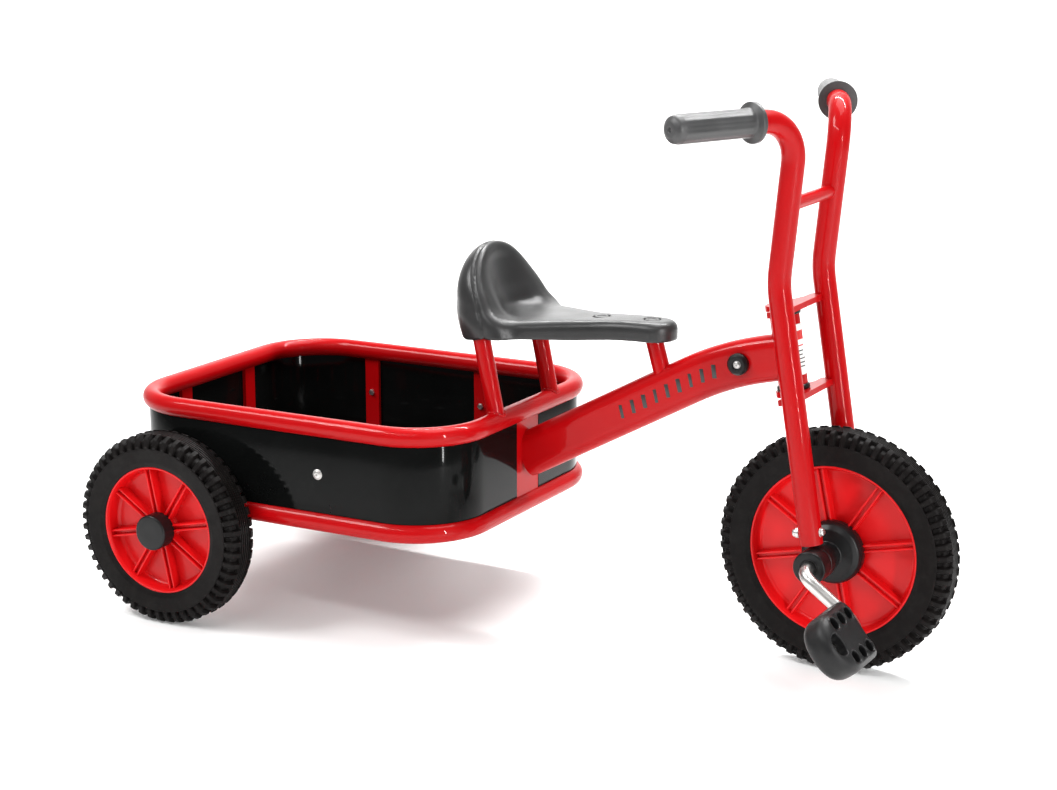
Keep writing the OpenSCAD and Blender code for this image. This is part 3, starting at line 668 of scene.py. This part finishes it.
def beam():
    """Flat-sided tube swept from the bracket to the head tube."""
    bend_z = beam_straight_z(BEND_X)
    cx, cz = BEND_X + BEND_R * math.sin(SL), bend_z - BEND_R * math.cos(SL)
    line = [((x, beam_straight_z(x)), SL) for x in np.linspace(BEAM_X0 - 2, BEND_X, 26)]
    for s in np.linspace(SL, SE, 24)[1:]:
        line.append(((cx - BEND_R * math.sin(s), cz + BEND_R * math.cos(s)), s))
    ex, ez = line[-1][0]
    for t in (5, 10, 15, 20):
        line.append(((ex + t * math.cos(SE), ez + t * math.sin(SE)), SE))
    w = BEAM_HALF_W
    cap = [(BEAM_FLAT + w * math.sin(t), w * math.cos(t)) for t in np.linspace(0, math.pi, 15)]
    flat = np.linspace(BEAM_FLAT, -BEAM_FLAT, 8)[1:-1]
    sec = cap + [(h, -w) for h in flat] + [(-h, -y) for h, y in cap] + [(-h, w) for h in flat]
    V = []
    for (x, z), s in line:
        for h, y in sec:
            V.append((x - h * math.sin(s), y, z + h * math.cos(s)))
    m, n = len(sec), len(line)
    F = [tuple(q) for q in grid_faces(n, m, False, True)]
    F += [tuple(range(m)), tuple((n - 1) * m + j for j in range(m))[::-1]]
    return make("main beam", V, F, RED, "main_beam")


def stripes():
    """Plain row of slanted dark bars on both sides of the beam, no lettering."""
    ink = surface("decal ink", (0.012, 0.011, 0.011), 0.34, spread=0.05, mottled=0.1,
                  grain=800, bump=0.02, coat=0.3)
    first_x, pitch, slant = 112, 15.6, math.radians(14)
    for s in (-1, 1):
        for k in range(9):
            x = first_x + pitch * k
            z, slope = beam_straight_z(x), SL
            if x > BEND_X:
                slope = SL - (x - BEND_X) / BEND_R / math.cos(SL - 0.06)
                z = beam_straight_z(BEND_X) + BEND_R * (math.cos(slope) - math.cos(SL))
            a = slope - slant
            rot = np.array([[math.cos(a), 0, -math.sin(a)], [0, 1, 0],
                            [math.sin(a), 0, math.cos(a)]])
            bar_block(f"beam stripe {s} {k}", (x, s * (BEAM_HALF_W + 0.05), z),
                      (2.2 + 0.35 * (k % 3), 0.25, 8.5), ink, r=0.2, rot=rot)


beam()
stripes()
lathe("head tube", fillet2([(HEAD_LO, 15), (HEAD_LO, HEAD_R), (HEAD_HI, HEAD_R),
      (HEAD_HI, 15)], 1.0), STEER_O, AX_U, RED, "head_tube", seg=72)
for nm, z, s in (("head_bush_lower", HEAD_LO, -1), ("head_bush_upper", HEAD_HI, 1)):
    lathe(nm.replace("_", " "), fillet2([(z + 0.05 * s, 8.2), (z + 0.05 * s, 20.0),
          (z + 6 * s, 20.0), (z + 6 * s, 8.2)], 1.6), STEER_O, AX_U, BLACK, nm, seg=72)


def label():
    """Plain sticker with two coloured bands and thin lines, no lettering."""
    n, r = 40, HEAD_R + 0.35
    side = np.array([0, 1.0, 0])
    V = [STEER_O + h * AX_U + r * (math.cos(a) * AX_F + math.sin(a) * side)
         for h in np.linspace(HEAD_LO + 12, HEAD_HI - 12, n)
         for a in np.radians(np.linspace(-62, 22, n))]
    F = [tuple(q) for q in grid_faces(n, n)]
    o = make("head label", V, F, LABEL, "head_label")
    red_ink = surface("label red ink", (0.55, 0.02, 0.02), 0.35, mottled=0.04, coat=0.3)
    dark_ink = surface("label dark ink", (0.05, 0.05, 0.055), 0.35, mottled=0.05, coat=0.3)
    o.data.materials.append(red_ink)
    o.data.materials.append(dark_ink)
    for p in o.data.polygons:
        h, w = divmod(p.index, n - 1)
        if not (2 <= w <= n - 4 and 2 <= h <= n - 4):
            continue
        if 27 <= h <= 33 or (h == 22 and 6 < w < 32):
            p.material_index = 1
        elif h in (6, 9, 12, 15, 18) and 4 < w < 34 - (h % 4) * 3:
            p.material_index = 2
    m = o.modifiers.new("film", "SOLIDIFY")
    m.thickness = 0.25 * MM
    m.offset = 1.0


label()
stands_for = "beam_stop"
for s in (-1, 1):
    y_lathe(f"stop cap {s}", fillet2([(15.1, 3), (15.1, 13.4), (21, 13.4), (24, 10.5),
            (24, 6), (21.8, 5.4), (21.8, 3)], [0.6, 2.2, 1.2, 0.8, 0.6]), STOP_X, STOP_Z,
            BLACK, sign=s, node_name=stands_for, body="frame", seg=64)
    round_screw(f"stop screw {s}", (STOP_X, s * 21.2, STOP_Z), (0, s, 0), r=4.0, h=2.6,
                hex_r=1.7)
    stands_for = None

for s, nm in ((-1, "seat_post_rear_right"), (1, "seat_post_rear_left")):
    a = np.array([RING["x1"], s * POST_Y, RING["top"]])
    b = np.array([-61, s * POST_Y, 400.0])
    u = (b - a) / np.linalg.norm(b - a)
    lo, hi = a + 6 * u, a + u * ((SEAT_Z - RING["top"]) / u[2] + 2)
    tube(nm.replace("_", " "), [lo + (hi - lo) * t / 12 for t in range(13)], POST_D, RED,
         nm, seg=48)
    weld(f"post weld {s}", a + 12.5 * u, u, 10.9, size=2.2, squash=2.2,
         normal=lambda d: math.sqrt(12.6 ** 2 - (11.4 * d[0]) ** 2) - 12.5)
    lathe(f"post collar {s}", fillet2([(0, 11.0), (0, 12.6), (3, 12.6), (3, 11.0)], 0.8),
          a + u * (104.2 / u[2]), u, BLACK, body="frame", seg=48)
a, b = np.array([164, 0, 330.0]), np.array([144, 0, 400.0])
u = (b - a) / np.linalg.norm(b - a)
tube("front seat post", [a + u * t for t in np.linspace(-14, 53.5, 10)], POST_D, RED,
     "seat_post_front", seg=48)
weld("front post weld", a + u * 9, u, 10.9, size=2.4, n=22, squash=2.0,
     normal=lambda d: 11 * d[0] * math.tan(SL - math.radians(4)))


# ----------------------------------------------------------------------- seat
def taper_sd(X, Y):
    """Distance to the seat's plan outline: wide rear drawn in to a narrow nose."""
    Y = abs(Y)
    nose = NOSE_R + 7 * np.clip((NOSE_X - X) / 109, 0, 1)
    half = smax(92 - 0.45 * (X + 62), nose, 14)
    lean = 1 - 0.08 * np.clip((60 - X) / 40, 0, 1)
    side = np.where(X > NOSE_X, np.hypot(X - NOSE_X, Y) - NOSE_R, (Y - half) * lean)
    return smax(side, Y - 88, 14)


def seat_sd(X, Y, Z):
    """Distance to the saddle's surface, with its plug pockets."""
    z = Z - SEAT_Z
    up = np.clip(z, 0, BACK_H)
    rho = np.hypot(X - BACK_X, Y)
    outer = BACK_R - np.where(z < 47, 0.0030, 0.0062) * (z - 47) ** 2
    # crowned pan with a slight dip, skirt with a flat lower edge
    rise = np.clip((X - 50) / 85, 0, 1)
    crown = 24.6 + 3.8 * rise * rise * (3 - 2 * rise) - 0.0011 * Y * Y \
        - 2.0 * np.exp(-((X + 18) / 40) ** 2 - (Y / 40) ** 2)
    plan = smax(taper_sd(X, Y), np.where(X < BACK_X, rho, abs(Y)) - outer + 9, 6)
    pan = smax(plan, z - crown, 13)
    inner = 56 + 0.16 * np.clip(z - 16, 0, 70) - 4 * np.exp(-((z - 40) / 11) ** 2)
    wall = smax(rho - outer, inner - rho, 10)
    arch = np.where(z > 23, np.hypot(Y, z - 23) - 85.5, abs(Y) - 85.5)
    wall = smax(wall, arch, 14)
    # front edges of the backrest slope back as they rise
    front = (X + 22 + 0.56 * up - 0.007 * np.maximum(up - 60, 0) ** 2) * 0.87
    wall = smax(wall, front, 16)
    body = smin(pan, wall, 22)
    # lower edge: dips under the backrest, lifts towards the nose
    drop = np.clip((-X - 40) / 50, 0, 1)
    lift = np.clip((X - 40) / 90, 0, 1)
    low = -1 + 5 * lift * lift * (3 - 2 * lift) \
        - 7 * drop * drop * (3 - 2 * drop)
    body = smax(body, low - z, 2.5)
    # moulding line along the crown of the back, down to the lower edge
    line = outer - 9 - 6 * np.sin(np.pi * up / BACK_H)
    seam = np.exp(-((rho - line) / 1.5) ** 2) * (X < -12)
    body = body + 1.5 * seam
    for px, _ in PLUGS:
        pocket = smax(np.hypot(X - px, Y) - POCKET_R, POCKET_Z - z, 1)
        body = smax(body, -pocket, 0.8)
    return body


V, F = nets(seat_sd, (-124, -112, 364), (190, 112, 504), 2.0 if FINE else 3.0)
make("seat", V, F, SEAT_M, "seat", angle=60)
stands_for = "seat_plugs"
for px, top in PLUGS:
    h = top - POCKET_Z
    lathe(f"seat plug {px}", fillet2([(0, 0.01), (0, PLUG_R), (h, PLUG_R), (h, 6.2),
          (h - 0.6, 5.6), (h - 0.6, 0.01)], [0.3, 1.1, 0.3, 0.3]),
          (px, 0, SEAT_Z + POCKET_Z + 1), (0, 0, 1), SEAT_M, stands_for, "frame", seg=48,
          closed=False)
    stands_for = None


# --------------------------------------------------------------------- wheels
def tyre(name, x, y, R, w, lip, fw, nd, lugs):
    """Rubber tyre: rounded section, fine grooves round the middle, shoulder blocks cut
    by deep slots."""
    cw, f = w / 2, fw / 2
    grooves, groove_pitch = 5, 4.1
    out = fillet2([(f - 4.2, lip - 2.6), (f - 4.2, lip - 0.6), (f + 0.4, lip - 0.4),
                   (f + 2.6, lip + 6), (cw - 0.6, R - 24), (cw - 0.1, R - 17.8),
                   (cw - 0.9, R - 17.5), (cw - 0.4, R - 14.6), (cw - 3.4, R - 4.0),
                   (12.0, R - 0.05), (10.7, R - 0.05), (10.4, R - 1.5)],
                  [1, 1.5, 6, 30, 3, 0.4, 0.6, 7, 7, 0.3, 0.3], 5)
    run = [out[0]]
    for q in out[1:]:
        k = int(np.linalg.norm(q - run[-1]) // 2.2)
        p = run[-1]
        run += [p + (q - p) * t / (k + 1) for t in range(1, k + 1)] + [q]
    half = [(-a_, r_) for a_, r_ in run]
    mid = []
    for k in range(grooves):
        c = (k - (grooves - 1) / 2) * groove_pitch
        mid += [(c - 0.95, R - 1.55), (c - 0.6, R - 3.4), (c + 0.6, R - 3.4),
                (c + 0.95, R - 1.55)]
    P = np.array(half + mid + [(-a_, r_) for a_, r_ in half[::-1]])
    # places round the tyre within one lug: its slot, then the block
    fr = np.array([0.0, 0.03, 0.18, 0.34, 0.37, 0.53, 0.69, 0.85])
    th = np.concatenate([(k + fr) / lugs for k in range(lugs)]) * 2 * np.pi
    ph = np.tile(fr, lugs)
    slot = ((ph >= 0.015) & (ph <= 0.35)).astype(float)[:, None]

    def cut(_, A, Rr):
        # slots on both shoulders, half a lug apart, deepest in the tread
        m = np.clip((abs(A) - 10.5) / 0.15, 0, 1) * np.clip((Rr - (R - 17.0)) / 0.6, 0, 1)
        s = np.where(A > 0, slot, np.roll(slot, 4, axis=0))
        ax = np.clip((R - 1.0 - Rr) / 9.0, 0, 1)
        depth = 5.6 * m * s
        return A - np.sign(A) * depth * ax * 0.75, Rr - depth * (1 - 0.45 * ax)
    return lathe(name, P, (x, y, R), (0, 1, 0), TYRE, nd, angles=th, wave=cut, angle=30)


tyre("front tyre", FRONT_X, 0, FRONT_R, FRONT_W, FRONT_LIP, FRONT_FW, "front_tyre", LUGS_F)
for s, sd in ((-1, "right"), (1, "left")):
    tyre(f"rear tyre {sd}", REAR_X, s * REAR_Y, REAR_R, REAR_W, REAR_LIP, REAR_FW,
         f"rear_tyre_{sd}", LUGS_R)


def wheel_rim(name, x, y, z, lip, fw, hub_r, hub_h, bore, nd, rib):
    """Moulded disc with rolled flanges, a hub and eight double ribs on each face."""
    f = fw / 2
    side = [(f - 4.0, lip - 2.4), (f - 3.8, lip - 0.4), (f, lip), (f, lip - 2.6),
            (f - 4, lip - 4.4), (4, lip - 6.5), (1.5, lip - 10), (1.5, hub_r + 4),
            (4, hub_r), (hub_h / 2, hub_r - 1), (hub_h / 2, bore)]
    rad = [0.5, 1.2, 1.0, 2, 4, 3, 3, 3, 1.2]
    one = fillet2(side, rad, 5)
    prof = np.vstack([one * [-1, 1], one[::-1]])
    names = [nd, nd.replace("rim", "disc"), nd.replace("rim", "ribs")]
    lathe(name, prof, (x, y, z), (0, 1, 0), RIM_RED, names, seg=144, angle=50)
    body = BODY_OF[nd]
    r0, r1 = hub_r - 2, lip - 4.8
    for k in range(8):
        a = math.radians(RIB_START + 45 * k)
        d = np.array([math.cos(a), 0, math.sin(a)])
        t = np.array([-math.sin(a), 0, math.cos(a)])
        rot = np.array([d, [0, 1, 0], t]).T
        for off in (-3.5, 3.5):
            c = np.array([x, y, z]) + d * (r0 + r1) / 2 + t * off
            bar_block(f"{name} rib {k} {off}", c, ((r1 - r0) / 2, rib, 1.1), RIM_RED,
                      r=0.7, body=body, rot=rot)
        for face in (-1, 1):
            c = np.array([x, y, z]) + d * (r0 + r1) / 2 + np.array([0, face * 4.5, 0])
            bar_block(f"{name} web {k} {face}", c, ((r1 - r0) / 2, 5.0, 3.6), RIM_RED,
                      r=0.4, body=body, rot=rot)


wheel_rim("front rim", FRONT_X, 0, FRONT_R, FRONT_LIP, FRONT_FW, 24, 40, 8, "front_rim",
          14.0)
for s, sd in ((-1, "right"), (1, "left")):
    wheel_rim(f"rear rim {sd}", REAR_X, s * REAR_Y, REAR_R, REAR_LIP, REAR_FW, 18, 44, 11,
              f"rear_rim_{sd}", 15.5)
    y_lathe(f"rear cap {sd}", fillet2([(35.2, 0.01), (35.5, 10), (35.5, 22.9),
            (14.2, 23), (14.2, 18), (22, 15.5), (22, 0.01)], [4, 2.6, 0.6, 0.5, 0.5], 6),
            REAR_X, REAR_R, BLACK, y0=s * REAR_Y, sign=s, node_name=f"rear_cap_{sd}",
            closed=False)
    y_lathe(f"hub cover {sd}", fillet2([(19.9, 8.3), (19.9, 24), (10.4, 24.3), (10.4, 39),
            (19, 39), (25.0, 36.5), (29.2, 30.5), (31.2, 23), (32.6, 16.2), (49.2, 14.9),
            (49.2, 8.4)], [0.5, 0.5, 0.5, 3, 6, 6, 6, 3, 1.4], 5), FRONT_X, FRONT_R, BLACK,
            sign=s, node_name=f"hub_cover_{sd}")

# ----------------------------------------------------------------------- fork
for s, sd in ((-1, "right"), (1, "left")):
    g = np.array([-math.sin(SWEEP), s * math.cos(SWEEP), 0])
    tp = np.array([KNEE[0] + (GRIP_Z - KNEE[2]) * math.tan(UP), s * LEG_Y, GRIP_Z])
    lo = STEER_O + [0, s * LEG_Y, 0] + LEG_AHEAD * AX_F + 19.0 * AX_U
    P = bend([lo, KNEE + [0, s * LEG_Y, 0], tp, tp + (GRIP_OUT + GRIP_LEN - 14) * g],
             [130, 50], 3.0)
    tube(f"fork tube {sd}", P, FORK_D, RED, f"fork_tube_{sd}", seg=56)
    # grip: flange, barrel with faint lengthwise facets, rounded end with a dimple
    a0 = tp + GRIP_OUT * g
    L = GRIP_LEN
    prof = fillet2([(0, 14.2), (0, 24), (5.6, 24), (8.5, 17.2), (14, 16.7), (50, 16.6),
                    (L - 12, 17.0), (L - 3.5, 15.6), (L, 9), (L, 3.4), (L - 2, 2.4),
                    (L - 2, 0.01)], [0.4, 2.2, 2.2, 3, 2, 6, 6, 6, 4, 0.5, 0.3], 6)

    def facets(th, A, R):
        k = np.clip((A - 12) / 8, 0, 1) * np.clip((GRIP_LEN - 10 - A) / 8, 0, 1)
        return A, R + 0.35 * k * np.cos(14 * th)
    lathe(f"grip {sd}", prof, a0, g, GRIP_M, f"grip_{sd}", seg=140, ref=(0, 0, 1),
          wave=facets, closed=False)
    # bearing block with its split line, clamp screw and nut
    y_lathe(f"bearing {sd}", fillet2([(50.2, 8.3), (50.2, 15), (54.8, 15.4), (55, 20.2),
            (70, 20.4), (70.4, 19.9), (71.2, 19.9), (71.6, 20.4), (94, 20.2), (94, 11),
            (92.8, 10), (92.8, 8.3)], [0.6, 0.5, 1.6, 0.2, 0.2, 0.2, 0.2, 2.2, 0.5, 0.5],
            4), FRONT_X, FRONT_R, BLACK, sign=s, node_name=f"bearing_{sd}")
    p = STEER_O + LEG_AHEAD * AX_F + 33 * AX_U + [0, s * LEG_Y, 0]
    round_screw(f"clamp screw {sd}", p + 13.2 * AX_F, AX_F, r=5.0, h=5.0, hex_r=2.2,
                body="fork", node_name="bearing_screws" if s < 0 else None)
    nut = fillet2([(0, 0.01), (0, 6.4), (4.2, 6.4), (5.2, 5.2), (8.2, 4.6), (9.6, 0.01)],
                  [0.3, 0.6, 0.4, 3], 4)
    lathe(f"clamp nut {sd}", nut, p - 13.2 * AX_F, -AX_F, STEEL, body="fork", seg=24,
          closed=False)

cx = KNEE[0] + (CROSSBAR_Z - KNEE[2]) * math.tan(UP)
tube("crossbar", [(cx, y, CROSSBAR_Z) for y in np.linspace(-LEG_Y + 8, LEG_Y - 8, 20)],
     16, RED, "fork_crossbar")
for s in (-1, 1):
    weld(f"crossbar weld {s}", (cx, s * (LEG_Y - 12.9), CROSSBAR_Z), (0, 1, 0), 7.9,
         body="fork", size=2.2, n=16)

# ----------------------------------------------------------- crank and pedals
# the rod runs from the right pin (p1) up its arm (q1), through the hub, down the left
arm = CRANK_R * np.array([math.cos(CRANK_A), 0, -math.sin(CRANK_A)])
hub = np.array([FRONT_X, 0, FRONT_R])
q1, q2 = hub + [0, -ARM_Y, 0], hub + [0, ARM_Y, 0]
p1, p2 = q1 + arm, q2 - arm
P = bend([p1 + [0, -21.6, 0], p1, q1, q2, p2, p2 + [0, 21.6, 0]], [CRANK_BEND] * 4, 2.0)
tube("crank rod", P, CRANK_D, STEEL, "crank_axle")
for s, p in ((-1, p1), (1, p2)):
    e0, e1 = 21.0, PIN_END - ARM_Y
    y_lathe(f"pedal pin {s}", fillet2([(e0, 0.01), (e0, 6), (e1 - 5, 6), (e1 - 5, 8),
            (e1 - 2.5, 8), (e1 - 2.5, 6), (e1 - 0.6, 6), (e1, 5.4), (e1, 0.01)],
            [0.2, 0.1, 0.3, 0.3, 0.2, 0.4, 0.4, 0.3], 3), p[0], p[2], STEEL, y0=s * ARM_Y,
            sign=s, body="front_wheel", seg=48, closed=False)


def pedal_sd(X, Y, Z):
    """Pedal in its own axes: x along the tread, y thickness, z outboard."""
    L, T, W = 38.0, 19.5, PEDAL_W / 2
    over = np.maximum(Z - (W - L), 0)
    plan = np.where(Z > W - L, np.hypot(over, X) - L, abs(X) - L)
    plan = smax(plan, -Z - W, 5)
    # thick in the middle, rounded edges, the nose drawn thinner
    half = T - 0.0019 * over ** 2 - 1.4 * np.clip((abs(X) - 25) / 13, 0, 1) ** 2
    body = smax(plan, abs(Y) - half, 14)
    pad = smax(abs(X) - 31, abs(Z + 10) - 31, 3)
    body = smax(body, -smax(pad, T - 1.6 - abs(Y), 0.6), 0.8)
    for z in (-31, -10, 11):
        ov = np.hypot(np.maximum(abs(abs(X) - 22) - 1.4, 0), (Z - z) * 0.80) - 5.8
        body = smax(body, -smax(ov, 3.0 - abs(Y), 1), 1.3)
        lipr = smax(abs(ov - 1.4) - 0.7, abs(Y) - T + 0.8, 0.4)
        body = smin(body, smax(lipr, T - 4 - abs(Y), 0.3), 0.5)
    big = np.hypot(np.maximum(abs(X) - 4, 0), (Z - 28.5)) - 9.9
    body = smax(body, -big, 1.5)
    body = smax(body, -smax(np.hypot(X, Y) - 6.1, Z - 30, 0.3), 0.3)
    return body


turn = np.array([[math.cos(PEDAL_TILT), 0, math.sin(PEDAL_TILT)], [0, 1, 0],
                 [-math.sin(PEDAL_TILT), 0, math.cos(PEDAL_TILT)]])
for s, sd, p in ((-1, "right", p1), (1, "left", p2)):
    V, F = nets(pedal_sd, (-41, -23, -49), (41, 23, 49), 1.1 if FINE else 1.8)
    # own axes to the model: z outboard, y up through the tread
    M = turn @ np.array([[1, 0, 0], [0, 0, s], [0, 1, 0]], float)
    c = np.array([p[0], s * PEDAL_Y, p[2]])
    make(f"pedal {sd}", V @ M.T + c, F, PEDAL_M, f"pedal_{sd}", angle=60)

# --------------------------------------------- floor, lights, camera (metres)
CAM_TURN = math.radians(28.67)


def stage_plane():
    """Pale floor that turns up into a wall behind the object, square to the camera."""
    n, width = 60, 30.0
    front, back, bend_r, top = -18.0, 3.2, 2.2, 7.0
    prof = [(t, 0.0) for t in np.linspace(front, back, 40)]
    prof += [(back + bend_r * math.sin(a), bend_r - bend_r * math.cos(a))
             for a in np.linspace(0, math.pi / 2, 16)[1:]]
    prof += [(back + bend_r, h) for h in np.linspace(bend_r, top, 8)[1:]]
    look = Vector((-math.sin(CAM_TURN), math.cos(CAM_TURN), 0))
    side = Vector((look.y, -look.x, 0))
    V = []
    for t, h in prof:
        for u in np.linspace(-width / 2, width / 2, n):
            p = look * t + side * u
            V.append((p.x, p.y, h - 0.0004))
    F = [tuple(int(k) for k in q) for q in grid_faces(len(prof), n)]
    me = bpy.data.meshes.new("floor")
    me.from_pydata(V, [], F)
    me.update()
    for p in me.polygons:
        p.use_smooth = True
    o = bpy.data.objects.new("floor", me)
    bpy.context.scene.collection.objects.link(o)
    pale, nt, bs = new_mat("pale floor")
    bs.inputs["Base Color"].default_value = (0.90, 0.90, 0.895, 1)
    bs.inputs["Emission Color"].default_value = (1, 1, 1, 1)
    bs.inputs["Emission Strength"].default_value = 0.12
    tc = node(nt, "ShaderNodeTexCoord")
    patches = node(nt, "ShaderNodeTexNoise", in_Scale=3.0, in_Detail=4.0)
    link(nt, tc, "Object", patches, "Vector")
    worn = node(nt, "ShaderNodeMapRange")
    worn.inputs["To Min"].default_value = 0.55
    worn.inputs["To Max"].default_value = 0.65
    link(nt, patches, "Fac", worn, "Value")
    link(nt, worn, "Result", bs, "Roughness")
    me.materials.append(pale)


stage_plane()


def area(name, loc, target, w, h, power):
    """Rectangular light of w by h at loc that faces target."""
    ld = bpy.data.lights.new(name, "AREA")
    ld.shape = "RECTANGLE"
    ld.size, ld.size_y, ld.energy = w, h, power
    o = bpy.data.objects.new(name, ld)
    bpy.context.scene.collection.objects.link(o)
    o.location = loc
    o.rotation_euler = (Vector(target) - Vector(loc)).to_track_quat("-Z", "Y").to_euler()


CENTER = (0.0, 0.0, 0.30)
area("key", (-1.9, -1.5, 2.9), CENTER, 1.3, 0.9, 64)
area("top", (0.2, 0.4, 3.0), CENTER, 2.4, 1.4, 50)
area("back strip", (0.1, 1.3, 2.6), CENTER, 3.0, 0.07, 110)
area("front strip", (-0.5, -2.2, 2.6), CENTER, 3.2, 0.05, 38)
area("side strip", (2.75, -1.30, 1.0), (0.3, 0, 0.5), 0.06, 1.7, 48)
area("back wall", (-1.6, 3.2, 3.2), (-2.4, 5.6, 1.6), 4.0, 1.5, 160)
world = bpy.data.worlds.new("studio")
bpy.context.scene.world = world
world.use_nodes = True
world.node_tree.nodes["Background"].inputs["Color"].default_value = (1, 1, 1, 1)
world.node_tree.nodes["Background"].inputs["Strength"].default_value = 0.29
bpy.context.scene.view_settings.view_transform = "Standard"

cam = bpy.data.cameras.new("camera")
cam.lens = 78.85
cam.sensor_width = 36.0
cam.sensor_fit = "HORIZONTAL"
co = bpy.data.objects.new("camera", cam)
bpy.context.scene.collection.objects.link(co)
co.location = (1.3572, -2.5342, 0.9816)
co.rotation_euler = (math.radians(76.57), 0, CAM_TURN)
bpy.context.scene.camera = co
